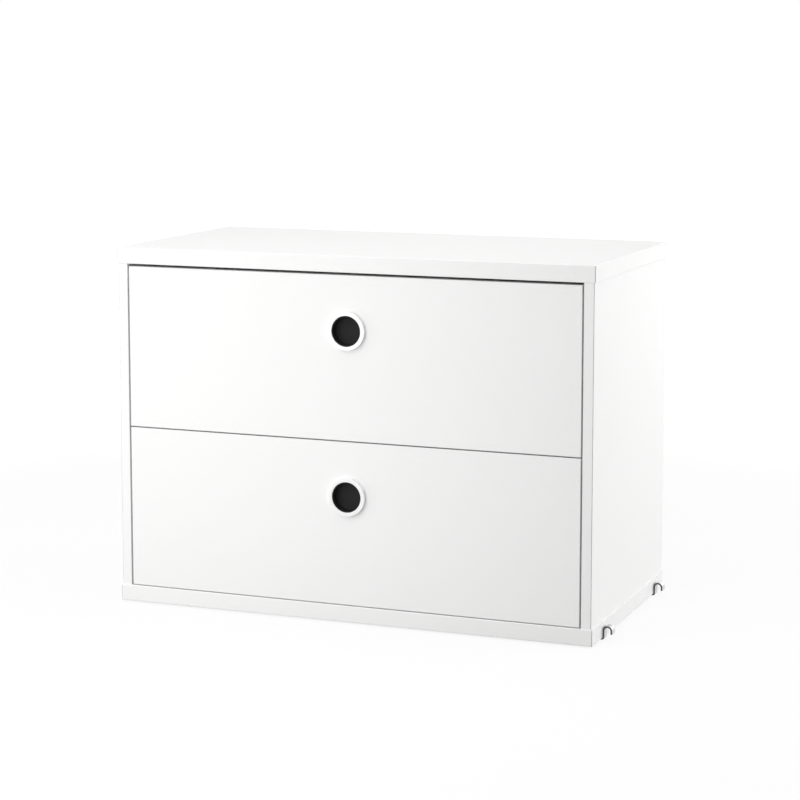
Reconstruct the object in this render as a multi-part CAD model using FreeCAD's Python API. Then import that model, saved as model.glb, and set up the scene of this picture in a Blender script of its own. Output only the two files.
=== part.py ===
import FreeCAD, Part

# White two-drawer cabinet that hangs between the ladders of a shelf system.
# Millimetres. X runs to the right, Y to the back and Z up. The origin is the
# middle of the footprint, at the underside of the four steel hooks.

import math
import os

Vector = FreeCAD.Vector

# Carcass
CABINET_WIDTH = 580.0
CABINET_DEPTH = 300.0
CABINET_HEIGHT = 420.0
PANEL_THICKNESS = 19.0
SIDE_THICKNESS = 12.0
SIDE_INSET = 1.5
FRONT_INSET = 1.0
PANEL_ROUND = 1.0
SIDE_ROUND = 0.8

# Back panel in its grooves
BACK_THICKNESS = 4.0
BACK_SETBACK = 8.0
GROOVE_DEPTH = 6.0
GROOVE_END_ROOM = 0.5
GROOVE_PLAY = 0.1

# Gaps round the drawer fronts
GAP_TOP = 3.0
GAP_MIDDLE = 1.4
GAP_BOTTOM = 1.0
GAP_SIDE = 1.5

# Drawer box
FRONT_THICKNESS = 16.0
FRONT_ROUND = 0.6
BOX_THICKNESS = 12.0
BOX_HEIGHT = 150.0
BOX_BACK_ROOM = 16.0
BOX_RISE = 12.0
BOX_ROUND = 1.0
BOTTOM_THICKNESS = 5.0
BOTTOM_RISE = 10.0

# Round pull: a white ring round a black cup
PULL_BELOW_TOP = 62.8
RING_OUTER_D = 44.5
RING_INNER_D = 35.0
RING_PROUD = 4.0
RING_SLEEVE_WALL = 1.7
RING_ROUND = 0.5
RING_INNER_ROUND = 0.4
CUP_WALL = 1.4
CUP_FLOOR = 2.0
CUP_SKIN = 1.0
CUP_LIP_BACK = 0.2
CUP_LIP_ROUND = 0.5
CUP_FLOOR_ROUND = 3.0
CUP_BOSS_D = 8.0
POCKET_DEPTH = 8.0
PULL_WEB = 4.0
PULL_SCREW_D = 4.0
PULL_HEAD_D = 8.0
PULL_HEAD_HEIGHT = 2.4
PULL_HEAD_ROUND = 0.8
PULL_WASHER_D = 12.0
PULL_WASHER_THICKNESS = 1.0

# Three-member ball runners
RUNNER_HEIGHT = 45.0
RUNNER_SPACE = 12.7
RUNNER_BEHIND_FRONT = 2.0
RUNNER_BACK_ROOM = 19.0
TRAVEL_SHORT = 2.0
SHEET = 1.2
BEND = 0.3
RUN_CLEAR = 0.3
CAGE_THICKNESS = 0.5
CAGE_LAND = 0.75
BALL_D = 3.5
BALL_PLAY = 0.05
BALL_HOLE_PLAY = 0.1
RACE_DEPTH = 0.3
BALLS_IN_ROW = 6
TAB_LENGTH = 3.0
TAB_WIDTH = 2.0
STOP_PLAY = 0.35
BUFFER_LENGTH = 6.0
BUFFER_HEIGHT = 16.0
BUFFER_FREE = 0.5
ACCESS_HOLE_D = 8.5
RAIL_SCREW_FIRST = 28.0
RAIL_SCREW_LAST = 30.0
RAIL_SCREW_COUNT = 3

# Wood screws of the runners and the hooks
SCREW_D = 3.5
SCREW_HEAD_D = 7.0
SCREW_LENGTH = 11.0
SCREW_TIP = 2.5
SCREW_TIP_D = 0.9
PAN_HEAD_HEIGHT = 1.8
RECESS_WIDTH = 0.8
RECESS_SPAN = 3.2
RECESS_DEPTH = 0.8

# Cam fittings and dowels
CAM_D = 12.0
CAM_DEPTH = 10.0
CAM_SETBACK = 24.0
CAM_SLOT_DEPTH = 1.2
CAM_BOLT_D = 6.0
CAM_BOLT_BITE = 10.0
CAM_NECK_D = 4.0
CAM_HEAD_D = 6.4
CAM_HEAD_LENGTH = 3.0
CAM_SOCKET_PLAY = 0.2
CAM_EDGE_HOLE_D = 7.0
CAM_FROM_FRONT = 50.0
CAM_FROM_BACK = 60.0
DOWEL_D = 6.0
DOWEL_LENGTH = 28.0
DOWEL_BITE = 10.0
DOWEL_SIDE_BITE = 8.0
DOWEL_PITCH = 32.0
DOWEL_CHAMFER = 0.6
HOLE_END_ROOM = 0.5
FIT_PLAY = 0.05
BOX_CAM_MARGIN = 30.0
BOX_DOWEL_MARGIN = 35.0

# Hooks that sit over the rungs of the ladders
HOOK_THICKNESS = 2.0
HOOK_WIDTH = 11.0
HOOK_INNER_R = 3.5
HOOK_HEIGHT = 15.8
HOOK_TIP_ABOVE_FOOT = 6.4
HOOK_FOOT_LENGTH = 30.0
HOOK_BEND = 0.8
HOOK_CORNER_ROUND = 1.6
HOOK_FROM_FRONT = 47.0
HOOK_FROM_BACK = 38.0
HOOK_SCREW_FIRST = 14.0
HOOK_SCREW_PITCH = 10.0
HOOK_SCREW_COUNT = 2

# Directions and places nearer than this are the same
CLOSE = 1e-6

# Places that follow from the sizes above
HALF_WIDTH = CABINET_WIDTH / 2
FRONT_Y = -CABINET_DEPTH / 2
BACK_Y = CABINET_DEPTH / 2
BASE_Z = HOOK_THICKNESS
TOP_Z = BASE_Z + CABINET_HEIGHT
INSIDE_LOW = BASE_Z + PANEL_THICKNESS
INSIDE_HIGH = TOP_Z - PANEL_THICKNESS
SIDE_OUTER_X = HALF_WIDTH - SIDE_INSET
SIDE_INNER_X = SIDE_OUTER_X - SIDE_THICKNESS
SIDE_MIDDLE_X = SIDE_OUTER_X - SIDE_THICKNESS / 2
FACE_Y = FRONT_Y + FRONT_INSET
BACK_PANEL_BACK = BACK_Y - BACK_SETBACK
BACK_PANEL_FRONT = BACK_PANEL_BACK - BACK_THICKNESS

FRONT_HEIGHT = (INSIDE_HIGH - INSIDE_LOW - GAP_TOP - GAP_MIDDLE - GAP_BOTTOM) / 2
FRONT_HALF = SIDE_INNER_X - GAP_SIDE
FRONT_BACK_Y = FACE_Y + FRONT_THICKNESS
LOWER_Z = INSIDE_LOW + GAP_BOTTOM
UPPER_Z = LOWER_Z + FRONT_HEIGHT + GAP_MIDDLE
BOX_OUTER_X = SIDE_INNER_X - RUNNER_SPACE
BOX_INNER_X = BOX_OUTER_X - BOX_THICKNESS
BOX_MIDDLE_X = BOX_OUTER_X - BOX_THICKNESS / 2
BOX_BACK_Y = BACK_PANEL_FRONT - BOX_BACK_ROOM
BOX_BACK_FRONT = BOX_BACK_Y - BOX_THICKNESS
BOX_BACK_MIDDLE = BOX_BACK_Y - BOX_THICKNESS / 2

DRAWERS = {"upper": UPPER_Z, "lower": LOWER_Z}
SIDES = {"left": -1, "right": 1}

# Runner section: u is measured from the cabinet side towards the drawer, w up
# or down from the runner's middle.
BALL_R = BALL_D / 2
CAGE_STRIP = BALL_D + 2 * (BALL_HOLE_PLAY + CAGE_LAND)
OUTER_CAGE_U = SHEET + RUN_CLEAR
MIDDLE_U = OUTER_CAGE_U + CAGE_THICKNESS + RUN_CLEAR
INNER_CAGE_U = MIDDLE_U + SHEET + RUN_CLEAR
DRAWER_FLANGE_U = INNER_CAGE_U + CAGE_THICKNESS + RUN_CLEAR
OUTER_BALL_U = OUTER_CAGE_U + CAGE_STRIP / 2
INNER_BALL_U = INNER_CAGE_U + CAGE_STRIP / 2
CABINET_LIP_U = OUTER_CAGE_U + CAGE_STRIP + RUN_CLEAR
MIDDLE_LIP_U = INNER_CAGE_U + CAGE_STRIP + RUN_CLEAR
BALL_REACH = BALL_R + BALL_PLAY - RACE_DEPTH
CABINET_FLANGE_W = RUNNER_HEIGHT / 2 - SHEET
OUTER_BALL_W = CABINET_FLANGE_W - BALL_REACH
MIDDLE_FLANGE_W = OUTER_BALL_W - BALL_REACH
INNER_BALL_W = MIDDLE_FLANGE_W - SHEET - BALL_REACH
DRAWER_FLANGE_W = INNER_BALL_W - BALL_REACH

RUNNER_FRONT = FRONT_BACK_Y + RUNNER_BEHIND_FRONT
RUNNER_BACK = BACK_PANEL_FRONT - RUNNER_BACK_ROOM
TRAVEL = RUNNER_BACK - RUNNER_FRONT - TRAVEL_SHORT
MEMBER_BACK = RUNNER_BACK - BUFFER_LENGTH - RUN_CLEAR
RUNNER_RISE = BOX_RISE + BOX_HEIGHT / 2
OVERLAP = MEMBER_BACK - RUNNER_FRONT - TRAVEL / 2
CAGE_LENGTH = OVERLAP - 2 * (TAB_LENGTH + STOP_PLAY)
CAGE_FRONT = RUNNER_FRONT + TAB_LENGTH + STOP_PLAY + TRAVEL / 4
BALL_PITCH = CAGE_LENGTH / BALLS_IN_ROW
RAIL_SCREW_START = RUNNER_FRONT + RAIL_SCREW_FIRST
RAIL_SCREW_END = RUNNER_BACK - RAIL_SCREW_LAST
RAIL_SCREW_PITCH = (RAIL_SCREW_END - RAIL_SCREW_START) / (RAIL_SCREW_COUNT - 1)
RAIL_SCREW_PLACES = [RAIL_SCREW_START + RAIL_SCREW_PITCH * i for i in range(RAIL_SCREW_COUNT)]
CONE_HEIGHT = (SCREW_HEAD_D - SCREW_D) / 2
BOX_CAM_RISES = [BOX_CAM_MARGIN, BOX_HEIGHT - BOX_CAM_MARGIN]
BOX_DOWEL_RISES = [BOX_DOWEL_MARGIN, BOX_HEIGHT - BOX_DOWEL_MARGIN]

PULL_RISE = FRONT_HEIGHT - PULL_BELOW_TOP
CUP_OUTER_R = RING_INNER_D / 2 - FIT_PLAY
SLEEVE_R = RING_INNER_D / 2 + RING_SLEEVE_WALL
COUNTERBORE_Y = POCKET_DEPTH + PULL_WEB

CAM_CENTRE = SIDE_THICKNESS / 2
CAM_PLACES_Y = [FRONT_Y + CAM_FROM_FRONT, BACK_Y - CAM_FROM_BACK]
DOWEL_PLACES_Y = [CAM_PLACES_Y[0] + DOWEL_PITCH, CAM_PLACES_Y[1] - DOWEL_PITCH]
HOOK_PLACES_Y = {"front": FRONT_Y + HOOK_FROM_FRONT, "rear": BACK_Y - HOOK_FROM_BACK}
HOOK_ARCH_Z = HOOK_HEIGHT - HOOK_THICKNESS - HOOK_INNER_R
HOOK_ARCH_X = HALF_WIDTH + HOOK_THICKNESS + HOOK_INNER_R

parts = {}


def add(node, *solids):
    """Keep the solids of one named piece."""
    parts.setdefault(node, []).extend(solids)


def block(x, y, z):
    """Box between two limits on each axis, given in either order."""
    low = Vector(min(x), min(y), min(z))
    high = Vector(max(x), max(y), max(z))
    size = high - low
    return Part.makeBox(size.x, size.y, size.z, low)


def rod(start, direction, radius, length):
    return Part.makeCylinder(radius, length, start, direction)


def cut(shape, *tools):
    """The shape less all the tools, as one solid."""
    return shape.cut(list(tools)).Solids[0]


def fuse(shape, *others):
    return shape.fuse(list(others)).removeSplitter().Solids[0]


def round_edges(shape, radius, wanted):
    """Fillet the straight edges whose direction and middle the test wants."""
    edges = []
    for edge in shape.Edges:
        ends = edge.Vertexes
        along = ends[1].Point - ends[0].Point
        if wanted(along.normalize(), edge.CenterOfMass):
            edges.append(edge)
    return shape.makeFillet(radius, edges).Solids[0]


def upright(along):
    """Whether a direction of unit length points straight up or down."""
    return abs(along.z) > 1 - CLOSE


def outline(corners, place):
    """Closed wire round the corners (a, b, radius), each with its own rounding."""
    spots = [Vector(a, b, 0) for a, b, radius in corners]
    joints = []
    for i, (a, b, radius) in enumerate(corners):
        here = spots[i]
        back = (spots[i - 1] - here).normalize()
        ahead = (spots[(i + 1) % len(spots)] - here).normalize()
        half = back.getAngle(ahead) / 2
        reach = radius / math.tan(half)
        middle = (back + ahead).normalize() * (radius / math.sin(half) - radius)
        joints.append((here + back * reach, here + middle, here + ahead * reach))
    edges = []
    for i, (start, middle, end) in enumerate(joints):
        before = joints[i - 1][2]
        if start.distanceToPoint(before) > CLOSE:
            edges.append(Part.LineSegment(place(before), place(start)).toShape())
        if start.distanceToPoint(end) > CLOSE:
            edges.append(Part.Arc(place(start), place(middle), place(end)).toShape())
    return Part.Wire(edges)


def sheet_corners(path, thickness, bends):
    """Outline corners of a bent strip that follows the path at its mid-thickness."""
    half = thickness / 2
    left = []
    right = []
    for i, (a, b) in enumerate(path):
        here = Vector(a, b, 0)
        runs = []
        if i > 0:
            runs.append((here - Vector(*path[i - 1], 0)).normalize())
        if i < len(path) - 1:
            runs.append((Vector(*path[i + 1], 0) - here).normalize())
        normals = [Vector(-run.y, run.x, 0) for run in runs]
        spread = (normals[0] + normals[-1]) * (half / (1 + normals[0].dot(normals[-1])))
        turn = runs[0].cross(runs[-1]).z
        bend = bends[i - 1] if abs(turn) > CLOSE else 0
        inner = bend
        outer = bend + thickness if bend else 0
        left_round, right_round = (inner, outer) if turn > 0 else (outer, inner)
        left.append((here.x + spread.x, here.y + spread.y, left_round))
        right.append((here.x - spread.x, here.y - spread.y, right_round))
    return left + right[::-1]


def turned(corners, centre):
    """Solid of revolution about the Y line through centre; corners are (radius, y, rounding)."""
    wire = outline(corners, lambda spot: Vector(spot.x, spot.y, 0))
    solid = Part.Face(wire).revolve(Vector(0, 0, 0), Vector(0, 1, 0), 360)
    solid.translate(centre)
    return solid.Solids[0] if solid.Solids else Part.Solid(solid)


def countersunk_screw(point, direction):
    """Wood screw whose flat head top is at the point and whose tip lies along the direction."""
    shank_end = SCREW_LENGTH - SCREW_TIP
    head = Part.makeCone(SCREW_HEAD_D / 2, SCREW_D / 2, CONE_HEIGHT, point, direction)
    shank = rod(point + direction * CONE_HEIGHT, direction, SCREW_D / 2, shank_end - CONE_HEIGHT)
    tip = Part.makeCone(SCREW_D / 2, SCREW_TIP_D / 2, SCREW_TIP, point + direction * shank_end, direction)
    return cut(fuse(head, shank, tip), *cross_recess(point, direction))


def pan_screw(point, direction):
    """Wood screw whose head's seat is at the point."""
    shank_end = SCREW_LENGTH - SCREW_TIP
    top = point - direction * PAN_HEAD_HEIGHT
    head = rod(top, direction, SCREW_HEAD_D / 2, PAN_HEAD_HEIGHT)
    shank = rod(point, direction, SCREW_D / 2, shank_end)
    tip = Part.makeCone(SCREW_D / 2, SCREW_TIP_D / 2, SCREW_TIP, point + direction * shank_end, direction)
    return cut(fuse(head, shank, tip), *cross_recess(top, direction))


def cross_recess(point, direction, span=RECESS_SPAN, depth=RECESS_DEPTH):
    """Two crossed slots, cut into the face at the point."""
    slots = []
    for turn in (0, 90):
        slot = Part.makeBox(span, RECESS_WIDTH, depth, Vector(-span / 2, -RECESS_WIDTH / 2, 0))
        slot.rotate(Vector(0, 0, 0), Vector(0, 0, 1), turn)
        slot.Placement = FreeCAD.Placement(
            point, FreeCAD.Rotation(Vector(0, 0, 1), direction)
        ).multiply(slot.Placement)
        slots.append(slot)
    return slots


def screw_hole(point, direction, countersunk):
    """Hole for a wood screw, with room for its head's cone where it is countersunk."""
    hole = rod(point, direction, SCREW_D / 2 + FIT_PLAY, SCREW_LENGTH + HOLE_END_ROOM)
    if not countersunk:
        return [hole]
    top = SCREW_HEAD_D / 2 + FIT_PLAY
    low = SCREW_D / 2 + FIT_PLAY
    return [hole, Part.makeCone(top, low, CONE_HEIGHT, point, direction)]


def dowel(start, direction):
    """Round wooden dowel with chamfered ends."""
    solid = rod(start, direction, DOWEL_D / 2, DOWEL_LENGTH)
    rims = [edge for edge in solid.Edges if isinstance(edge.Curve, Part.Circle)]
    return solid.makeChamfer(DOWEL_CHAMFER, rims).Solids[0]


def dowel_hole(mouth, direction, bite):
    return rod(mouth, direction, DOWEL_D / 2 + FIT_PLAY, bite + HOLE_END_ROOM)


def cam(face, into, towards_bolt):
    """Cam disc let into a board: its face point, the way in, and the way to the bolt."""
    disc = rod(face, into, CAM_D / 2 - FIT_PLAY, CAM_DEPTH - FIT_PLAY)
    socket = rod(
        face + into * CAM_CENTRE - towards_bolt * CAM_HEAD_LENGTH,
        towards_bolt,
        CAM_HEAD_D / 2 + CAM_SOCKET_PLAY,
        CAM_D,
    )
    return cut(disc, socket, *cross_recess(face, into, CAM_D / 2, CAM_SLOT_DEPTH))


def cam_holes(face, into, towards_bolt, setback):
    """Cam pocket and the hole from the board's end that the bolt comes through."""
    pocket = rod(face, into, CAM_D / 2, CAM_DEPTH)
    edge_hole = rod(face + into * CAM_CENTRE, towards_bolt, CAM_EDGE_HOLE_D / 2, setback)
    return [pocket, edge_hole]


def cam_bolt(mouth, direction, setback):
    """Bolt that bites into one board at the mouth and ends in the other board's cam."""
    thread = rod(mouth, direction, CAM_BOLT_D / 2, CAM_BOLT_BITE)
    neck_length = setback - CAM_HEAD_LENGTH / 2
    neck = rod(mouth, -direction, CAM_NECK_D / 2, neck_length)
    head_start = mouth - direction * (setback + CAM_HEAD_LENGTH / 2)
    head = rod(head_start, direction, CAM_HEAD_D / 2, CAM_HEAD_LENGTH)
    return fuse(thread, neck, head)


def bolt_hole(mouth, direction):
    return rod(mouth, direction, CAM_BOLT_D / 2 + FIT_PLAY, CAM_BOLT_BITE + HOLE_END_ROOM)


def carcass_joints():
    """Every corner joint of the carcass: side name, sign, mouth height and way up or down."""
    for name, sign in SIDES.items():
        for height, way in ((INSIDE_HIGH, Vector(0, 0, 1)), (INSIDE_LOW, Vector(0, 0, -1))):
            yield name, sign, height, way


def rail_places():
    """Every runner: drawer name, side name, its sign and the height of its middle."""
    for drawer, base in DRAWERS.items():
        for side, sign in SIDES.items():
            yield drawer, side, sign, base + RUNNER_RISE


def back_groove(x, y, z):
    return block(x, (y[0] - GROOVE_PLAY, y[1] + GROOVE_PLAY), z)


def flat_panel(low_z, groove_low, groove_high, joint_height, way):
    """Top or bottom panel: rounded board with the back's groove and the joint holes."""
    board = block(
        (-HALF_WIDTH, HALF_WIDTH), (FRONT_Y, BACK_Y), (low_z, low_z + PANEL_THICKNESS)
    )
    board = round_edges(board, PANEL_ROUND, lambda along, middle: True)
    reach = SIDE_INNER_X + GROOVE_DEPTH
    tools = [
        back_groove((-reach, reach), (BACK_PANEL_FRONT, BACK_PANEL_BACK), (groove_low, groove_high))
    ]
    for sign in SIDES.values():
        x = sign * SIDE_MIDDLE_X
        for y in CAM_PLACES_Y:
            tools.append(bolt_hole(Vector(x, y, joint_height), way))
        for y in DOWEL_PLACES_Y:
            tools.append(dowel_hole(Vector(x, y, joint_height), way, DOWEL_BITE))
    return cut(board, *tools)


def hook_screw_places(sign, y):
    for i in range(HOOK_SCREW_COUNT):
        x = sign * (HALF_WIDTH - HOOK_SCREW_FIRST - i * HOOK_SCREW_PITCH)
        yield Vector(x, y, 0)


def hook_places():
    for place, y in HOOK_PLACES_Y.items():
        for side, sign in SIDES.items():
            yield f"hook_{place}_{side}", sign, y


def make_top_panel():
    add(
        "top_panel",
        flat_panel(
            INSIDE_HIGH, INSIDE_HIGH, INSIDE_HIGH + GROOVE_DEPTH, INSIDE_HIGH, Vector(0, 0, 1)
        ),
    )


def make_bottom_panel():
    panel = flat_panel(BASE_Z, INSIDE_LOW - GROOVE_DEPTH, INSIDE_LOW, INSIDE_LOW, Vector(0, 0, -1))
    holes = []
    for node, sign, y in hook_places():
        for point in hook_screw_places(sign, y):
            holes += screw_hole(point, Vector(0, 0, 1), True)
    add("bottom_panel", cut(panel, *holes))


def make_side_panels():
    """Upright boards between the top and bottom panel, drilled for cams, dowels and runners."""
    for name, sign in SIDES.items():
        board = block(
            (sign * SIDE_INNER_X, sign * SIDE_OUTER_X), (FACE_Y, BACK_Y), (INSIDE_LOW, INSIDE_HIGH)
        )
        board = round_edges(board, SIDE_ROUND, lambda along, middle: upright(along))
        inner = sign * SIDE_INNER_X
        groove_floor = sign * (SIDE_INNER_X + GROOVE_DEPTH)
        tools = [
            back_groove(
                (inner, groove_floor),
                (BACK_PANEL_FRONT, BACK_PANEL_BACK),
                (INSIDE_LOW, INSIDE_HIGH),
            )
        ]
        outward = Vector(sign, 0, 0)
        for joint_name, joint_sign, height, way in carcass_joints():
            if joint_sign != sign:
                continue
            for y in CAM_PLACES_Y:
                face = Vector(inner, y, height) - way * CAM_SETBACK
                tools += cam_holes(face, outward, way, CAM_SETBACK)
            for y in DOWEL_PLACES_Y:
                mouth = Vector(sign * SIDE_MIDDLE_X, y, height)
                tools.append(dowel_hole(mouth, -way, DOWEL_LENGTH - DOWEL_BITE))
        for drawer, side, rail_sign, height in rail_places():
            if rail_sign != sign:
                continue
            for y in RAIL_SCREW_PLACES:
                head = Vector(inner, y, height) - outward * SHEET
                tools += screw_hole(head, outward, True)
        add(f"{name}_side_panel", cut(board, *tools))


def make_back_panel():
    reach = GROOVE_DEPTH - GROOVE_END_ROOM
    add(
        "back_panel",
        block(
            (-SIDE_INNER_X - reach, SIDE_INNER_X + reach),
            (BACK_PANEL_FRONT, BACK_PANEL_BACK),
            (INSIDE_LOW - reach, INSIDE_HIGH + reach),
        ),
    )


def make_carcass_fittings():
    """Dowels, cam discs and cam bolts that join the side panels to the top and bottom."""
    for name, sign, height, way in carcass_joints():
        middle = sign * SIDE_MIDDLE_X
        outward = Vector(sign, 0, 0)
        for y in CAM_PLACES_Y:
            face = Vector(sign * SIDE_INNER_X, y, height) - way * CAM_SETBACK
            add("carcass_cams", cam(face, outward, way))
            add("carcass_cam_bolts", cam_bolt(Vector(middle, y, height), way, CAM_SETBACK))
        for y in DOWEL_PLACES_Y:
            foot = Vector(middle, y, height) + way * DOWEL_BITE
            add("carcass_dowels", dowel(foot, -way))


def make_hooks():
    """Bent steel strips: foot under the bottom panel, leg up its end, arch over the rung."""
    half = HOOK_THICKNESS / 2
    leg = HALF_WIDTH + half
    tip = leg + 2 * HOOK_INNER_R + HOOK_THICKNESS
    crown = HOOK_HEIGHT - half
    path = [
        (HALF_WIDTH - HOOK_FOOT_LENGTH, half),
        (leg, half),
        (leg, crown),
        (tip, crown),
        (tip, HOOK_TIP_ABOVE_FOOT),
    ]
    bends = [HOOK_BEND, HOOK_INNER_R, HOOK_INNER_R]
    corners = sheet_corners(path, HOOK_THICKNESS, bends)
    for node, sign, y in hook_places():
        front = y - HOOK_WIDTH / 2
        wire = outline(corners, lambda p: Vector(sign * p.x, front, p.y))
        strip = Part.Face(wire).extrude(Vector(0, HOOK_WIDTH, 0))
        foot_end = lambda along, middle: upright(along) and abs(middle.z - half) < CLOSE
        strip = round_edges(strip, HOOK_CORNER_ROUND, foot_end)
        holes = []
        for point in hook_screw_places(sign, y):
            holes += screw_hole(point, Vector(0, 0, 1), True)
            add("hook_screws", countersunk_screw(point, Vector(0, 0, 1)))
        add(node, cut(strip, *holes))


def runner_place(sign, height, y):
    """Maps a point of the runner's section to its place in the cabinet."""
    return lambda p: Vector(sign * (SIDE_INNER_X - p.x), y, height + p.y)


def runner_block(sign, height, u, y, w):
    x = (sign * (SIDE_INNER_X - u[0]), sign * (SIDE_INNER_X - u[1]))
    return block(x, y, (height + w[0], height + w[1]))


def race(sign, height, u, w, back):
    """Groove along the runner in which a row of balls rolls."""
    start = Vector(sign * (SIDE_INNER_X - u), RUNNER_FRONT, height + w)
    return rod(start, Vector(0, 1, 0), BALL_R + BALL_PLAY, back - RUNNER_FRONT)


def channel(sign, height, path, back):
    """Rolled channel with the section that the path gives, as long as its member."""
    corners = sheet_corners(path, SHEET, [BEND] * (len(path) - 2))
    wire = outline(corners, runner_place(sign, height, RUNNER_FRONT))
    return Part.Face(wire).extrude(Vector(0, back - RUNNER_FRONT, 0))


def mirrored_path(points):
    """The points, then the same points below the runner's middle, in reverse."""
    return points + [(u, -w) for u, w in reversed(points)]


def make_cabinet_rails():
    """Outer member of each runner, screwed flat to the side panel."""
    web = SHEET / 2
    flange = CABINET_FLANGE_W + SHEET / 2
    lip = CABINET_LIP_U + SHEET / 2
    lip_end = OUTER_BALL_W - CAGE_THICKNESS
    path = mirrored_path([(lip, lip_end), (lip, flange), (web, flange)])
    for drawer, side, sign, height in rail_places():
        rail = channel(sign, height, path, RUNNER_BACK)
        outward = Vector(sign, 0, 0)
        tabs = []
        tools = []
        for up in (1, -1):
            tabs.append(
                runner_block(
                    sign,
                    height,
                    (OUTER_BALL_U - TAB_WIDTH / 2, OUTER_BALL_U + TAB_WIDTH / 2),
                    (RUNNER_FRONT, RUNNER_FRONT + TAB_LENGTH),
                    (up * lip_end, up * flange),
                )
            )
            groove = race(sign, height, OUTER_BALL_U, up * OUTER_BALL_W, RUNNER_BACK)
            groove.translate(Vector(0, TAB_LENGTH, 0))
            tools.append(groove)
        for y in RAIL_SCREW_PLACES:
            head = Vector(sign * (SIDE_INNER_X - SHEET), y, height)
            tools += screw_hole(head, outward, True)
            add("cabinet_rail_screws", countersunk_screw(head, outward))
        add(f"{drawer}_{side}_cabinet_rail", cut(fuse(rail, *tabs), *tools))


def make_rail_buffers():
    """Rubber block at the back of each cabinet rail, where the other members stop."""
    for drawer, side, sign, height in rail_places():
        half = BUFFER_HEIGHT / 2
        add(
            "rail_buffers",
            runner_block(
                sign,
                height,
                (SHEET, RUNNER_SPACE - BUFFER_FREE),
                (RUNNER_BACK - BUFFER_LENGTH, RUNNER_BACK),
                (-half, half),
            ),
        )


def make_middle_rails():
    """Middle member: rides on the outer balls and carries the inner ones."""
    web = MIDDLE_U + SHEET / 2
    flange = MIDDLE_FLANGE_W - SHEET / 2
    lip = MIDDLE_LIP_U + SHEET / 2
    lip_end = INNER_BALL_W - CAGE_THICKNESS
    path = mirrored_path([(lip, lip_end), (lip, flange), (web, flange)])
    outer_tab_end = OUTER_BALL_W + CAGE_THICKNESS
    for drawer, side, sign, height in rail_places():
        rail = channel(sign, height, path, MEMBER_BACK)
        tabs = []
        tools = []
        for up in (1, -1):
            tabs.append(
                runner_block(
                    sign,
                    height,
                    (OUTER_BALL_U - TAB_WIDTH / 2, OUTER_BALL_U + TAB_WIDTH / 2),
                    (MEMBER_BACK - TAB_LENGTH, MEMBER_BACK),
                    (up * flange, up * outer_tab_end),
                )
            )
            tabs.append(
                runner_block(
                    sign,
                    height,
                    (INNER_BALL_U - TAB_WIDTH / 2, INNER_BALL_U + TAB_WIDTH / 2),
                    (RUNNER_FRONT, RUNNER_FRONT + TAB_LENGTH),
                    (up * lip_end, up * flange),
                )
            )
            outer = race(sign, height, OUTER_BALL_U, up * OUTER_BALL_W, MEMBER_BACK)
            outer.translate(Vector(0, -TAB_LENGTH, 0))
            inner = race(sign, height, INNER_BALL_U, up * INNER_BALL_W, MEMBER_BACK)
            inner.translate(Vector(0, TAB_LENGTH, 0))
            tools += [outer, inner]
        for y in RAIL_SCREW_PLACES:
            start = Vector(sign * (SIDE_INNER_X - MIDDLE_U - SHEET - HOLE_END_ROOM), y, height)
            run = SHEET + 2 * HOLE_END_ROOM
            tools.append(rod(start, Vector(sign, 0, 0), ACCESS_HOLE_D / 2, run))
        add(f"{drawer}_{side}_middle_rail", cut(fuse(rail, *tabs), *tools))


def make_drawer_rails():
    """Inner member of each runner, screwed to the side of the drawer."""
    web = RUNNER_SPACE - SHEET / 2
    flange = DRAWER_FLANGE_W - SHEET / 2
    path = mirrored_path([(DRAWER_FLANGE_U, flange), (web, flange)])
    tab_end = INNER_BALL_W + CAGE_THICKNESS
    for drawer, side, sign, height in rail_places():
        rail = channel(sign, height, path, MEMBER_BACK)
        inward = Vector(-sign, 0, 0)
        tabs = []
        tools = []
        for up in (1, -1):
            tabs.append(
                runner_block(
                    sign,
                    height,
                    (INNER_BALL_U - TAB_WIDTH / 2, INNER_BALL_U + TAB_WIDTH / 2),
                    (MEMBER_BACK - TAB_LENGTH, MEMBER_BACK),
                    (up * flange, up * tab_end),
                )
            )
            groove = race(sign, height, INNER_BALL_U, up * INNER_BALL_W, MEMBER_BACK)
            groove.translate(Vector(0, -TAB_LENGTH, 0))
            tools.append(groove)
        for y in RAIL_SCREW_PLACES:
            seat = Vector(sign * (BOX_OUTER_X + SHEET), y, height)
            tools += screw_hole(seat, inward, False)
            add(f"{drawer}_rail_screws", pan_screw(seat, inward))
        add(f"{drawer}_{side}_drawer_rail", cut(fuse(rail, *tabs), *tools))


def make_cages_and_balls():
    """Ball cages of thin sheet, and the balls in their holes, for both tracks."""
    tracks = {
        "outer": (OUTER_CAGE_U, OUTER_BALL_U, OUTER_BALL_W),
        "inner": (INNER_CAGE_U, INNER_BALL_U, INNER_BALL_W),
    }
    for drawer, side, sign, height in rail_places():
        for track, (web_u, ball_u, ball_w) in tracks.items():
            web = web_u + CAGE_THICKNESS / 2
            path = mirrored_path([(web_u + CAGE_STRIP, ball_w), (web, ball_w)])
            corners = sheet_corners(path, CAGE_THICKNESS, [BEND, BEND])
            wire = outline(corners, runner_place(sign, height, CAGE_FRONT))
            cage = Part.Face(wire).extrude(Vector(0, CAGE_LENGTH, 0))
            holes = []
            for up in (1, -1):
                for i in range(BALLS_IN_ROW):
                    y = CAGE_FRONT + BALL_PITCH * (i + 0.5)
                    centre = Vector(sign * (SIDE_INNER_X - ball_u), y, height + up * ball_w)
                    add(f"{drawer}_{track}_balls", Part.makeSphere(BALL_R, centre))
                    start = centre - Vector(0, 0, CAGE_THICKNESS)
                    hole_r = BALL_R + BALL_HOLE_PLAY
                    holes.append(rod(start, Vector(0, 0, 1), hole_r, 2 * CAGE_THICKNESS))
            add(f"{drawer}_{track}_ball_cages", cut(cage, *holes))


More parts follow.
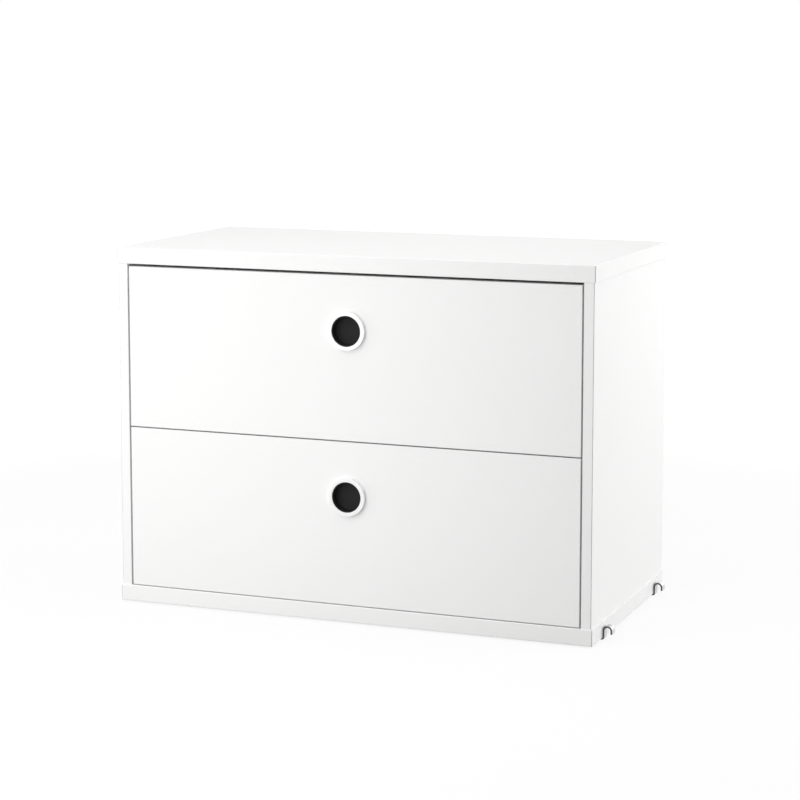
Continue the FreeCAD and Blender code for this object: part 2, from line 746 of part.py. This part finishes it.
def make_drawer_front(drawer, base):
    """Inset front board: pull pocket, groove for the bottom, bolt and dowel holes."""
    board = block(
        (-FRONT_HALF, FRONT_HALF), (FACE_Y, FRONT_BACK_Y), (base, base + FRONT_HEIGHT)
    )
    board = round_edges(board, FRONT_ROUND, lambda along, middle: True)
    centre = Vector(0, FACE_Y, base + PULL_RISE)
    back = Vector(0, 1, 0)
    reach = BOX_INNER_X + GROOVE_DEPTH
    tools = [
        rod(centre, back, SLEEVE_R + FIT_PLAY, POCKET_DEPTH),
        rod(centre, back, CUP_BOSS_D / 2 + FIT_PLAY, FRONT_THICKNESS),
        rod(centre + back * COUNTERBORE_Y, back, PULL_WASHER_D / 2 + FIT_PLAY, FRONT_THICKNESS),
        bottom_groove(base, (-reach, reach), (FRONT_BACK_Y - GROOVE_DEPTH, FRONT_BACK_Y)),
    ]
    for sign in SIDES.values():
        for rise in BOX_CAM_RISES:
            mouth = Vector(sign * BOX_MIDDLE_X, FRONT_BACK_Y, base + BOX_RISE + rise)
            tools.append(bolt_hole(mouth, -back))
        mouth = Vector(sign * BOX_MIDDLE_X, FRONT_BACK_Y, base + RUNNER_RISE)
        tools.append(dowel_hole(mouth, -back, DOWEL_BITE))
    add(f"{drawer}_drawer_front", cut(board, *tools))


def bottom_groove(base, x, y):
    low = base + BOX_RISE + BOTTOM_RISE
    return block(x, y, (low - GROOVE_PLAY, low + BOTTOM_THICKNESS + GROOVE_PLAY))


def box_board(x, y, base):
    """Board of the drawer box with its long top edges eased."""
    low = base + BOX_RISE
    high = low + BOX_HEIGHT
    board = block(x, y, (low, high))
    top = lambda along, middle: abs(middle.z - high) < CLOSE
    return round_edges(board, BOX_ROUND, top)


def make_drawer_sides(drawer, base):
    """Box sides: cams for the front, dowels for the back, screws for the runner."""
    for side, sign in SIDES.items():
        board = box_board(
            (sign * BOX_INNER_X, sign * BOX_OUTER_X), (FRONT_BACK_Y, BOX_BACK_Y), base
        )
        inner = sign * BOX_INNER_X
        outward = Vector(sign, 0, 0)
        forward = Vector(0, -1, 0)
        tools = [
            bottom_groove(base, (inner, inner + sign * GROOVE_DEPTH), (FRONT_BACK_Y, BOX_BACK_Y))
        ]
        for rise in BOX_CAM_RISES:
            height = base + BOX_RISE + rise
            face = Vector(inner, FRONT_BACK_Y + CAM_SETBACK, height)
            tools += cam_holes(face, outward, forward, CAM_SETBACK)
            add(f"{drawer}_drawer_cams", cam(face, outward, forward))
            bolt = cam_bolt(Vector(sign * BOX_MIDDLE_X, FRONT_BACK_Y, height), forward, CAM_SETBACK)
            add(f"{drawer}_drawer_cam_bolts", bolt)
        mouth = Vector(sign * BOX_MIDDLE_X, FRONT_BACK_Y, base + RUNNER_RISE)
        tools.append(dowel_hole(mouth, -forward, DOWEL_LENGTH - DOWEL_BITE))
        add(f"{drawer}_drawer_dowels", dowel(mouth + forward * DOWEL_BITE, -forward))
        for rise in BOX_DOWEL_RISES:
            mouth = Vector(inner, BOX_BACK_MIDDLE, base + BOX_RISE + rise)
            tools.append(dowel_hole(mouth, outward, DOWEL_SIDE_BITE))
            add(f"{drawer}_drawer_dowels", dowel(mouth + outward * DOWEL_SIDE_BITE, -outward))
        for y in RAIL_SCREW_PLACES:
            head = Vector(sign * (BOX_OUTER_X + SHEET), y, base + RUNNER_RISE)
            tools += screw_hole(head, -outward, False)
        add(f"{drawer}_drawer_{side}_side", cut(board, *tools))


def make_drawer_back(drawer, base):
    board = box_board((-BOX_INNER_X, BOX_INNER_X), (BOX_BACK_FRONT, BOX_BACK_Y), base)
    tools = [
        bottom_groove(
            base, (-BOX_INNER_X, BOX_INNER_X), (BOX_BACK_FRONT, BOX_BACK_FRONT + GROOVE_DEPTH)
        )
    ]
    for sign in SIDES.values():
        for rise in BOX_DOWEL_RISES:
            mouth = Vector(sign * BOX_INNER_X, BOX_BACK_MIDDLE, base + BOX_RISE + rise)
            tools.append(dowel_hole(mouth, Vector(-sign, 0, 0), DOWEL_LENGTH - DOWEL_SIDE_BITE))
    add(f"{drawer}_drawer_back", cut(board, *tools))


def make_drawer_bottom(drawer, base):
    reach = GROOVE_DEPTH - GROOVE_END_ROOM
    low = base + BOX_RISE + BOTTOM_RISE
    add(
        f"{drawer}_drawer_bottom",
        block(
            (-BOX_INNER_X - reach, BOX_INNER_X + reach),
            (FRONT_BACK_Y - reach, BOX_BACK_FRONT + reach),
            (low, low + BOTTOM_THICKNESS),
        ),
    )


def make_pull(drawer, base):
    """White ring and black cup let into the front, drawn tight by a screw from behind."""
    centre = Vector(0, FACE_Y, base + PULL_RISE)
    inner = RING_INNER_D / 2
    outer = RING_OUTER_D / 2
    sleeve_end = POCKET_DEPTH - FIT_PLAY
    ring = [
        (inner, -RING_PROUD, RING_INNER_ROUND),
        (outer, -RING_PROUD, RING_ROUND),
        (outer, 0, 0),
        (SLEEVE_R, 0, 0),
        (SLEEVE_R, sleeve_end, 0),
        (inner, sleeve_end, 0),
    ]
    add(f"{drawer}_pull_ring", turned(ring, centre))
    lip = CUP_LIP_BACK - RING_PROUD
    floor = sleeve_end - CUP_FLOOR
    boss_end = COUNTERBORE_Y - FIT_PLAY
    screw_room = floor + CUP_SKIN
    bore = PULL_SCREW_D / 2 + FIT_PLAY
    cup = [
        (0, floor, 0),
        (CUP_OUTER_R - CUP_WALL, floor, CUP_FLOOR_ROUND),
        (CUP_OUTER_R - CUP_WALL, lip, CUP_LIP_ROUND),
        (CUP_OUTER_R, lip, CUP_LIP_ROUND),
        (CUP_OUTER_R, sleeve_end, 0),
        (CUP_BOSS_D / 2, sleeve_end, 0),
        (CUP_BOSS_D / 2, boss_end, 0),
        (bore, boss_end, 0),
        (bore, screw_room, 0),
        (0, screw_room, 0),
    ]
    add(f"{drawer}_pull_cup", turned(cup, centre))
    washer_back = COUNTERBORE_Y + PULL_WASHER_THICKNESS
    washer = [
        (bore, COUNTERBORE_Y, 0),
        (PULL_WASHER_D / 2, COUNTERBORE_Y, 0),
        (PULL_WASHER_D / 2, washer_back, 0),
        (bore, washer_back, 0),
    ]
    head_back = washer_back + PULL_HEAD_HEIGHT
    screw = [
        (0, screw_room + HOLE_END_ROOM, 0),
        (PULL_SCREW_D / 2, screw_room + HOLE_END_ROOM, 0),
        (PULL_SCREW_D / 2, washer_back, 0),
        (PULL_HEAD_D / 2, washer_back, 0),
        (PULL_HEAD_D / 2, head_back, PULL_HEAD_ROUND),
        (0, head_back, 0),
    ]
    top = centre + Vector(0, head_back, 0)
    recess = cross_recess(top, Vector(0, -1, 0))
    add(f"{drawer}_pull_screw", cut(turned(screw, centre), *recess), turned(washer, centre))


def write_steps():
    os.makedirs("parts", exist_ok=True)
    for node, solids in sorted(parts.items()):
        shape = solids[0] if len(solids) == 1 else Part.makeCompound(solids)
        shape.exportStep(os.path.join("parts", f"{node}.step"))


make_top_panel()
make_bottom_panel()
make_side_panels()
make_back_panel()
make_carcass_fittings()
make_hooks()
make_cabinet_rails()
make_rail_buffers()
make_middle_rails()
make_drawer_rails()
make_cages_and_balls()
for drawer, base in DRAWERS.items():
    make_drawer_front(drawer, base)
    make_drawer_sides(drawer, base)
    make_drawer_back(drawer, base)
    make_drawer_bottom(drawer, base)
    make_pull(drawer, base)
write_steps()
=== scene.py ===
import math

import bpy
from mathutils import Matrix, Vector

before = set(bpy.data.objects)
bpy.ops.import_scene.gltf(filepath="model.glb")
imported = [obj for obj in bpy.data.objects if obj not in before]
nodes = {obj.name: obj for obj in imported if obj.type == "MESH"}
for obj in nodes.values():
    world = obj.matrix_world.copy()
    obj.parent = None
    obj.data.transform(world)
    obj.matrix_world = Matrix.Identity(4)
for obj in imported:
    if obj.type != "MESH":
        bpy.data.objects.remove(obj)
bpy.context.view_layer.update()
MM = 0.001


# Carcass boards: top and bottom of 19 mm board, sides of 12 mm, each sprayed with satin white
# lacquer after its edges were rounded. Cams and dowels pull the sides against the top and
# the bottom. The film shows the gun's faint ripple. The upright arrises get painted shade: a grey
# mixed into the lacquer where they face halfway between the front or back and an end.
class Shade:
    """A socket of a material's nodes that can be reckoned with like a number."""

    def __init__(self, finish, socket):
        self.finish = finish
        self.socket = socket

    def reckon(self, operation, *values):
        numbers = dict(enumerate(values))
        return self.finish.node("ShaderNodeMath", {"operation": operation}, numbers)[0]

    def __add__(self, other):
        return self.reckon("ADD", self, other)

    def __sub__(self, other):
        return self.reckon("SUBTRACT", self, other)

    def __rsub__(self, other):
        return self.reckon("SUBTRACT", other, self)

    def __mul__(self, other):
        return self.reckon("MULTIPLY", self, other)

    __radd__ = __add__
    __rmul__ = __mul__

    def size(self):
        return self.reckon("ABSOLUTE", self)

    def wave(self):
        return self.reckon("SINE", self)

    def over(self, edge):
        return self.reckon("GREATER_THAN", self, edge)

    def kept(self):
        """The value held between 0 and 1."""
        return self.finish.node("ShaderNodeClamp", {}, {"Value": self})[0]


# Sockets of a Mix node that mixes colours
MIX_FACTOR, MIX_FIRST, MIX_SECOND, MIX_COLOUR = 0, 6, 7, 2


class Finish:
    """The nodes of a material or of the air: each is added here and wrapped for reckoning."""

    def __init__(self, home):
        self.home = home
        home.use_nodes = True
        self.tree = home.node_tree
        self.tree.nodes.clear()

    @property
    def place(self):
        """The point's place in the cabinet's frame, in metres."""
        return self.node("ShaderNodeTexCoord", {}, {}, "Object")[0]

    @property
    def facing(self):
        """The way that the surface faces: across, along and up."""
        normal = self.node("ShaderNodeTexCoord", {}, {}, "Normal")[0]
        return self.node("ShaderNodeSeparateXYZ", {}, {"Vector": normal})

    def node(self, kind, settings, sockets, *wanted):
        """Adds a node. The settings are set first, then the sockets get values or links."""
        made = self.tree.nodes.new(kind)
        for key, value in settings.items():
            setattr(made, key, value)
        for key, value in sockets.items():
            if isinstance(value, Shade):
                self.tree.links.new(value.socket, made.inputs[key])
            else:
                made.inputs[key].default_value = value
        outputs = [made.outputs[name] for name in wanted] or list(made.outputs)
        return [Shade(self, output) for output in outputs]

    def noise(self, waves, detail, stretch=(1, 1, 1)):
        """Noise from 0 to 1, with so many waves to the metre; stretch draws it out."""
        spread = tuple(waves / part for part in stretch)
        place = self.node(
            "ShaderNodeVectorMath", {"operation": "MULTIPLY"}, {0: self.place, 1: spread}, "Vector"
        )[0]
        sockets = {"Vector": place, "Scale": 1, "Detail": detail}
        return self.node("ShaderNodeTexNoise", {}, sockets, "Fac")[0]

    def mix(self, factor, first, second):
        """Colour between two others, by a factor from 0 to 1."""
        ends = [part if isinstance(part, Shade) else (*part, 1) for part in (first, second)]
        sockets = {MIX_FACTOR: factor, MIX_FIRST: ends[0], MIX_SECOND: ends[1]}
        return self.node("ShaderNodeMix", {"data_type": "RGBA"}, sockets, MIX_COLOUR)[0]

    def bump(self, height, depth):
        """Normal of a surface whose height runs from 0 to depth metres."""
        return self.node("ShaderNodeBump", {}, {"Height": height, "Distance": depth}, "Normal")[0]

    def surface(self, **sockets):
        """Ends the material in one shader; underlines in the names stand for spaces."""
        named = {key.replace("_", " "): value for key, value in sockets.items()}
        shader = self.node("ShaderNodeBsdfPrincipled", {}, named, "BSDF")[0]
        self.node("ShaderNodeOutputMaterial", {}, {"Surface": shader})
        return self.home


def finish_named(name):
    return Finish(bpy.data.materials.new(name))


def dress(material, *names):
    """Gives CAD nodes this material in place of their plain one."""
    for name in names:
        for slot in nodes[name].material_slots:
            slot.material = material


def darker(tone, share):
    return tuple(part * share for part in tone)


LACQUER_TONE = (0.86, 0.86, 0.855)
LACQUER_DUSK = darker(LACQUER_TONE, 0.985)
LACQUER_SHINE = 0.3
LACQUER_RELIEF = 0.012 * MM
RUBBED_PLAY = 0.06
ARRIS_SHADE_TONE = (0.16, 0.155, 0.15)
ARRIS_SPREAD = 2.6


def lacquer(name, roughness, arris_shade=0.0):
    """White lacquer film: a breath of mottling, spray ripple and a fine dust of nibs. The third
    argument paints shade on the upright arrises, as grey mixed into the film.
    """
    finish = finish_named(name)
    mottle = finish.noise(waves=9, detail=3)
    ripple = finish.noise(waves=420, detail=2)
    nibs = finish.noise(waves=2600, detail=1).over(0.74)
    film = finish.mix(mottle, LACQUER_DUSK, LACQUER_TONE)
    # Painted shade on the upright arrises: a dark grey mixed in, unevenly, where the surface faces
    # halfway between the front or back and an end.
    if arris_shade:
        across, along = finish.facing[:2]
        shade_mask = (across * along * ARRIS_SPREAD).size().kept()
        shade_patches = 0.85 + 0.3 * finish.noise(waves=70, detail=3)
        film = finish.mix(shade_mask * arris_shade * shade_patches, film, ARRIS_SHADE_TONE)
    rubbed = finish.noise(waves=60, detail=3)
    return finish.surface(
        Base_Color=film,
        Roughness=roughness - RUBBED_PLAY + 2 * RUBBED_PLAY * rubbed,
        Normal=finish.bump(ripple * 0.8 + nibs * 0.2, LACQUER_RELIEF),
        Specular_IOR_Level=LACQUER_SHINE,
    )


# The carcass gets 0.6 of the painted shade on its upright arrises; the fronts get none.
carcass_lacquer = lacquer("carcass_lacquer", roughness=0.54, arris_shade=0.6)
dress(carcass_lacquer, "top_panel", "bottom_panel", "left_side_panel", "right_side_panel")


# Back board: 4 mm hardboard, painted white, slid into a groove all round. The press has left
# its woven mark in it, and that shows faintly through the paint on both faces.
BOARD_TONE = (0.80, 0.80, 0.785)
WEAVE_PITCH = 1.6 * MM
BOARD_RELIEF = 0.05 * MM


def painted_hardboard(name):
    finish = finish_named(name)
    across, along, up = finish.node("ShaderNodeSeparateXYZ", {}, {"Vector": finish.place})
    turns = 2 * math.pi / WEAVE_PITCH
    weave = (across * turns).wave() * ((along + up) * turns).wave()
    fibres = finish.noise(waves=300, detail=4)
    return finish.surface(
        Base_Color=finish.mix(fibres, darker(BOARD_TONE, 0.96), BOARD_TONE),
        Roughness=0.55 + 0.12 * fibres,
        Normal=finish.bump(weave * 0.35 + fibres, BOARD_RELIEF),
    )


dress(painted_hardboard("back_paint"), "back_panel")


# Fittings of the carcass: ribbed beech dowels, zinc cams turned with a screwdriver, and the
# zinc-plated bolts that they draw tight. Once the cabinet is together only the cams show.
BEECH_DARK = (0.60, 0.40, 0.24)
BEECH_PALE = (0.78, 0.58, 0.38)
BEECH_PORE = (0.45, 0.28, 0.16)
CAST_DARK = (0.46, 0.46, 0.47)
CAST_PALE = (0.62, 0.62, 0.63)
PLATE_BLUE = (0.52, 0.53, 0.56)
PLATE_WHITE = (0.70, 0.70, 0.70)


def beech(name):
    finish = finish_named(name)
    grain = finish.noise(waves=260, detail=4, stretch=(1, 1, 14))
    pores = finish.noise(waves=1500, detail=2, stretch=(1, 1, 9)).over(0.62)
    wood = finish.mix(grain, BEECH_DARK, BEECH_PALE)
    return finish.surface(
        Base_Color=finish.mix(pores, wood, BEECH_PORE),
        Roughness=0.6 + 0.15 * grain,
        Normal=finish.bump(grain, 0.08 * MM),
    )


def cast_zinc(name):
    finish = finish_named(name)
    skin = finish.noise(waves=700, detail=5)
    stain = finish.noise(waves=140, detail=3)
    return finish.surface(
        Base_Color=finish.mix(stain, CAST_DARK, CAST_PALE),
        Metallic=1.0,
        Roughness=0.34 + 0.2 * skin,
        Normal=finish.bump(skin, 0.03 * MM),
    )


def bright_zinc(name):
    """Thin bright plating, as on screws: bluish in places, with fine turning marks."""
    finish = finish_named(name)
    stain = finish.noise(waves=220, detail=3)
    marks = finish.noise(waves=2400, detail=2)
    return finish.surface(
        Base_Color=finish.mix(stain, PLATE_BLUE, PLATE_WHITE),
        Metallic=1.0,
        Roughness=0.22 + 0.16 * marks,
        Normal=finish.bump(marks, 0.01 * MM),
    )


dowel_beech = beech("dowel_beech")
cam_zinc = cast_zinc("cam_zinc")
screw_zinc = bright_zinc("screw_zinc")
dress(dowel_beech, "carcass_dowels")
dress(cam_zinc, "carcass_cams", "carcass_cam_bolts")


# Hooks: 11 mm wide strip of 2 mm steel, sheared, bent cold and then zinc-plated. Each has its
# foot screwed under the bottom board and an arch that drops over a rung. The sheared edges
# are rough, and the dark grey on the edges that face front and back is painted shade.
SHEARED_SHADE_TONE = (0.11, 0.11, 0.115)
ROLLED_DARK = (0.50, 0.50, 0.52)
ROLLED_PALE = (0.70, 0.70, 0.71)
SHEARED_FACING = 0.7


def plated_strip(name):
    finish = finish_named(name)
    # Edges that face front or back: rougher, which is real, and painted dark grey, which is
    # painted shade.
    sheared_and_shaded = finish.facing[1].size().over(SHEARED_FACING)
    spangle = finish.noise(waves=520, detail=3)
    drawn = finish.noise(waves=1300, detail=2, stretch=(1, 9, 1))
    rolled = finish.mix(spangle, ROLLED_DARK, ROLLED_PALE)
    return finish.surface(
        Base_Color=finish.mix(sheared_and_shaded, rolled, SHEARED_SHADE_TONE),
        Metallic=1.0,
        Roughness=(0.28 + 0.14 * spangle + 0.2 * sheared_and_shaded).kept(),
        Normal=finish.bump(drawn + sheared_and_shaded * spangle, 0.03 * MM),
    )


hook_zinc = plated_strip("hook_zinc")
for end in ("front", "rear"):
    for side in ("left", "right"):
        dress(hook_zinc, f"hook_{end}_{side}")
dress(screw_zinc, "hook_screws")


# Runners: three rolled channels of 1.2 mm galvanised steel to a side, with two cages of
# polished balls between them. Flat-headed screws hold the outer channel to the cabinet, pan
# heads hold the inner one to the drawer, and a rubber block stops them at the back.
CHANNEL_DULL = (0.56, 0.57, 0.59)
CHANNEL_BRIGHT = (0.72, 0.73, 0.74)
CAGE_DULL = (0.42, 0.43, 0.45)
CAGE_BRIGHT = (0.58, 0.58, 0.59)
BALL_DARK = (0.70, 0.70, 0.69)
BALL_PALE = (0.80, 0.80, 0.80)
RUBBER_DARK = (0.018, 0.018, 0.018)
RUBBER_PALE = (0.035, 0.034, 0.033)


def rolled_steel(name, dull, bright):
    """Galvanised strip with the long fine lines that the rollers draw in it."""
    finish = finish_named(name)
    lines = finish.noise(waves=1700, detail=3, stretch=(1, 60, 1))
    bloom = finish.noise(waves=55, detail=4)
    return finish.surface(
        Base_Color=finish.mix(bloom, dull, bright),
        Metallic=1.0,
        Roughness=0.24 + 0.12 * lines + 0.1 * bloom,
        Normal=finish.bump(lines, 0.012 * MM),
    )


def ball_polish(name):
    finish = finish_named(name)
    film = finish.noise(waves=900, detail=2)
    return finish.surface(
        Base_Color=finish.mix(film, BALL_DARK, BALL_PALE),
        Metallic=1.0,
        Roughness=0.08 + 0.08 * film,
    )


def stop_rubber(name):
    finish = finish_named(name)
    grit = finish.noise(waves=1900, detail=3)
    return finish.surface(
        Base_Color=finish.mix(grit, RUBBER_DARK, RUBBER_PALE),
        Roughness=0.72 + 0.16 * grit,
        Normal=finish.bump(grit, 0.05 * MM),
    )


channel_steel = rolled_steel("channel_steel", CHANNEL_DULL, CHANNEL_BRIGHT)
cage_steel = rolled_steel("cage_steel", CAGE_DULL, CAGE_BRIGHT)
ball_steel = ball_polish("ball_steel")
for drawer in ("upper", "lower"):
    for side in ("left", "right"):
        for member in ("cabinet", "middle", "drawer"):
            dress(channel_steel, f"{drawer}_{side}_{member}_rail")
    for track in ("outer", "inner"):
        dress(cage_steel, f"{drawer}_{track}_ball_cages")
        dress(ball_steel, f"{drawer}_{track}_balls")
    dress(screw_zinc, f"{drawer}_rail_screws")
dress(screw_zinc, "cabinet_rail_screws")
dress(stop_rubber("stop_rubber"), "rail_buffers")


# Drawer boxes: sides and back of 12 mm board wrapped in white foil, and a bottom of painted
# hardboard in their grooves. Dowels hold the back, cams hold the front.
FOIL_TONE = (0.82, 0.82, 0.81)


def foil_board(name):
    finish = finish_named(name)
    grain = finish.noise(waves=190, detail=4, stretch=(7, 7, 1))
    return finish.surface(
        Base_Color=finish.mix(grain, darker(FOIL_TONE, 0.975), FOIL_TONE),
        Roughness=0.46 + 0.1 * grain,
        Normal=finish.bump(grain, 0.02 * MM),
    )


box_foil = foil_board("box_foil")
bottom_paint = painted_hardboard("bottom_paint")
for drawer in ("upper", "lower"):
    for board in ("left_side", "right_side", "back"):
        dress(box_foil, f"{drawer}_drawer_{board}")
    dress(bottom_paint, f"{drawer}_drawer_bottom")
    dress(dowel_beech, f"{drawer}_drawer_dowels")
    dress(cam_zinc, f"{drawer}_drawer_cams", f"{drawer}_drawer_cam_bolts")


# Drawer fronts: 16 mm board, sprayed with the same lacquer as the carcass and rubbed a little
# finer. Each is set flush between the side boards and drawn to its box by four cams.
front_lacquer = lacquer("front_lacquer", roughness=0.52)
dress(front_lacquer, "upper_drawer_front", "lower_drawer_front")


# Pulls: a turned-looking ring moulded in glossy white plastic round a finger cup moulded in
# black. The cup's boss goes through the front, and a screw with a washer draws both tight.
RING_DARK = (0.84, 0.84, 0.84)
RING_PALE = (0.87, 0.87, 0.87)
CUP_DARK = (0.012, 0.012, 0.012)
CUP_PALE = (0.020, 0.020, 0.020)


def white_plastic(name):
    finish = finish_named(name)
    flow = finish.noise(waves=120, detail=2)
    return finish.surface(
        Base_Color=finish.mix(flow, RING_DARK, RING_PALE),
        Roughness=0.24 + 0.08 * flow,
        Normal=finish.bump(flow, 0.01 * MM),
        Coat_Weight=0.15,
    )


def black_plastic(name):
    """Spark-eroded black moulding: dead matt, with a fine even grain."""
    finish = finish_named(name)
    grain = finish.noise(waves=3200, detail=2)
    return finish.surface(
        Base_Color=finish.mix(grain, CUP_DARK, CUP_PALE),
        Roughness=0.55 + 0.14 * grain,
        Normal=finish.bump(grain, 0.03 * MM),
        Specular_IOR_Level=0.12,
    )


ring_plastic = white_plastic("ring_plastic")
cup_plastic = black_plastic("cup_plastic")
for drawer in ("upper", "lower"):
    dress(ring_plastic, f"{drawer}_pull_ring")
    dress(cup_plastic, f"{drawer}_pull_cup")
    dress(screw_zinc, f"{drawer}_pull_screw")


# Studio: a matt floor that the camera sees glow white away from the cabinet, and white air.
# Broad lamps hang above and at the right, low ones light both ends and the back with little
# glare on the top, and small ones in front favour the drawers' left half.
FLOOR_HALF = 7.0
FLOOR_TONE = (0.45, 0.45, 0.45, 1)
FLOOR_GLOW = 1.16
GLOW_SHARE_NEAR = 0.75
GLOW_NEAR = 0.7
GLOW_FULL = 2.2
WHITE = (1, 1, 1, 1)


def seen_by_camera(finish):
    """1 for what the camera sees, straight or in a shiny or clear surface."""
    path = finish.node(
        "ShaderNodeLightPath", {}, {}, "Is Camera Ray", "Is Glossy Ray", "Is Transmission Ray"
    )
    return (path[0] + path[1] + path[2]).kept()


def studio_floor():
    mesh = bpy.data.meshes.new("studio_floor")
    signs = ((-1, -1), (1, -1), (1, 1), (-1, 1))
    corners = [(x * FLOOR_HALF, y * FLOOR_HALF, 0) for x, y in signs]
    mesh.from_pydata(corners, [], [(0, 1, 2, 3)])
    floor = bpy.data.objects.new("studio_floor", mesh)
    bpy.context.scene.collection.objects.link(floor)
    finish = finish_named("studio_floor")
    seen = seen_by_camera(finish)
    away = finish.node(
        "ShaderNodeVectorMath", {"operation": "LENGTH"}, {0: finish.place}, "Value"
    )[0]
    reach = finish.node(
        "ShaderNodeMapRange",
        {"interpolation_type": "SMOOTHSTEP"},
        {"Value": away, "From Min": GLOW_NEAR, "From Max": GLOW_FULL, "To Min": GLOW_SHARE_NEAR},
    )[0]
    matt = finish.node("ShaderNodeBsdfDiffuse", {}, {"Color": FLOOR_TONE})[0]
    glow = finish.node("ShaderNodeEmission", {}, {"Strength": FLOOR_GLOW})[0]
    both = finish.node("ShaderNodeMixShader", {}, {0: seen * reach, 1: matt, 2: glow})[0]
    finish.node("ShaderNodeOutputMaterial", {}, {"Surface": both})
    mesh.materials.append(finish.home)


def studio_air(ambient):
    """White background, and a lower, even light on everything else."""
    world = bpy.data.worlds.new("studio_air")
    bpy.context.scene.world = world
    air = Finish(world)
    seen = seen_by_camera(air)
    strength = seen * (1 - ambient) + ambient
    sky = air.node("ShaderNodeBackground", {}, {"Color": WHITE, "Strength": strength})[0]
    air.node("ShaderNodeOutputWorld", {}, {"Surface": sky})


def softbox(name, place, aim, size, watts, spread=180):
    """A rectangular lamp, size metres wide and high, whose light spreads over so many degrees."""
    light = bpy.data.lights.new(name, "AREA")
    light.shape = "RECTANGLE"
    light.size, light.size_y = size
    light.energy = watts
    light.spread = math.radians(spread)
    lamp = bpy.data.objects.new(name, light)
    lamp.location = place
    lamp.rotation_euler = (Vector(aim) - Vector(place)).to_track_quat("-Z", "Y").to_euler()
    bpy.context.scene.collection.objects.link(lamp)


MIDDLE = (0, 0, 0.21)
LEFT_END = (-0.29, -0.1, 0.21)
RIGHT_END = (0.29, 0, 0.21)
BACK = (0, 0.15, 0.21)
DRAWERS_LEFT = (-0.1, -0.15, 0.25)
UPPER_LEFT = (-0.15, -0.15, 0.3)
UPPER_DRAWER = (-0.05, -0.15, 0.32)

studio_floor()
studio_air(ambient=0.38)
softbox("front_high_light", (-0.45, -1.15, 1.35), DRAWERS_LEFT, size=(0.9, 0.7), watts=6.45)
softbox("front_low_light", (-0.5, -1.35, 0.24), DRAWERS_LEFT, size=(1.0, 0.36), watts=4.46)
softbox("front_near_light", (-0.35, -1.0, 0.27), UPPER_LEFT, size=(0.6, 0.3), watts=0.65)
softbox("front_beam", (-0.1, -1.7, 0.9), UPPER_DRAWER, size=(0.9, 0.9), watts=0.25, spread=45)
softbox("left_light", (-1.9, -0.5, 0.28), LEFT_END, size=(1.6, 0.5), watts=13.19)
softbox("right_light", (2.2, 1.1, 1.1), MIDDLE, size=(2.2, 1.8), watts=12.33)
softbox("right_low_light", (1.9, 0.45, 0.28), RIGHT_END, size=(1.6, 0.5), watts=14.61)
softbox("top_light", (0, 0.1, 2.3), MIDDLE, size=(2.2, 2.2), watts=22.54)
softbox("back_light", (0.1, 1.9, 0.28), BACK, size=(1.8, 0.5), watts=4.84)


# Camera: it stands in front of the cabinet's right half and a little above its top, where a
# fit to the cabinet's own edges puts it. It looks slightly down, with a long lens.
SENSOR = 36.0
IMAGE_SIDE = 800
FOCAL_PIXELS = 2289.9
HORIZON_ROW = 312
CAMERA_PLACE = (0.9860, -2.5018, 0.6760)
CAMERA_YAW = math.radians(21.40)
CAMERA_PITCH = math.radians(7.09)

lens = bpy.data.cameras.new("camera")
lens.sensor_width = SENSOR
lens.lens = SENSOR * FOCAL_PIXELS / IMAGE_SIDE
lens.shift_y = (HORIZON_ROW - IMAGE_SIDE / 2) / IMAGE_SIDE
camera = bpy.data.objects.new("camera", lens)
turn = Matrix.Rotation(CAMERA_YAW, 4, "Z") @ Matrix.Rotation(math.pi / 2 - CAMERA_PITCH, 4, "X")
camera.matrix_world = Matrix.Translation(CAMERA_PLACE) @ turn
bpy.context.scene.collection.objects.link(camera)
bpy.context.scene.camera = camera
bpy.context.scene.view_settings.view_transform = "Standard"
